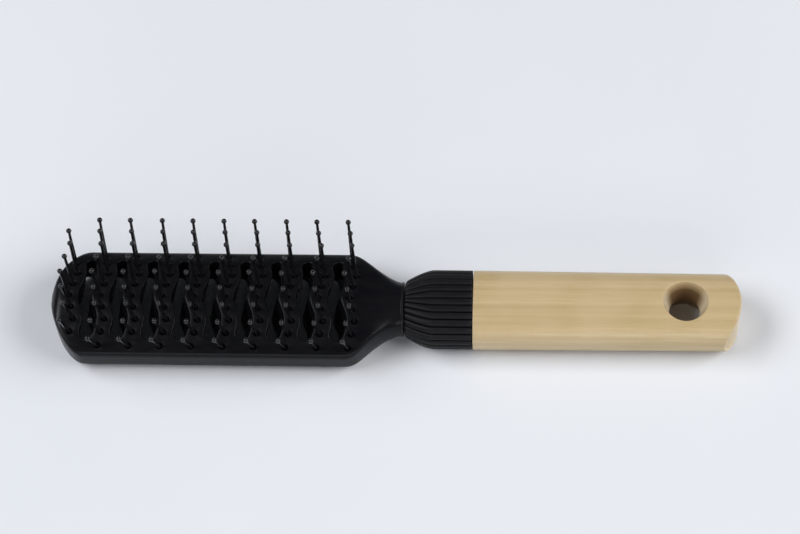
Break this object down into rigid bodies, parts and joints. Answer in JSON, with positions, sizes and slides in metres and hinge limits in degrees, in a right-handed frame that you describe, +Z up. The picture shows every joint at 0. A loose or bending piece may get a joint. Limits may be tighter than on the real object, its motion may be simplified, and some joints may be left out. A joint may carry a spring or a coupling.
{
  "type": "vent hair brush",
  "caption": "Vent hair brush: hollow black plastic head with wavy air slots and rows of ball-tipped pins, ribbed rubber collar, oval pale wood handle with a hanging hole.",
  "frame": {"origin": "on the surface the brush rests on, under the middle of its bounding box, with the brush lying on its back", "axes": "+X along the brush from the head's tip to the handle's end, +Z up from the back through the pins, +Y across the head"},
  "size_m": [0.236, 0.0482, 0.0338],
  "materials": {
    "shell_plastic": "satin moulded black",
    "pin_plastic": "semi-gloss black nylon",
    "collar_rubber": "matt ribbed",
    "handle_wood": "clear satin lacquer on pale close-grained wood"
  },
  "bodies": {
    "root": {"front_shell": "shell_plastic", "back_shell": "shell_plastic", "pin_strip_01": "pin_plastic", "pin_strip_02": "pin_plastic", "pin_strip_03": "pin_plastic", "pin_strip_04": "pin_plastic", "pin_strip_05": "pin_plastic", "pin_strip_06": "pin_plastic", "pin_strip_07": "pin_plastic", "pin_strip_08": "pin_plastic", "pin_strip_09": "pin_plastic", "pin_strip_10": "pin_plastic", "grip_collar": "collar_rubber", "wood_handle": "handle_wood"}
  },
  "joints": []
}
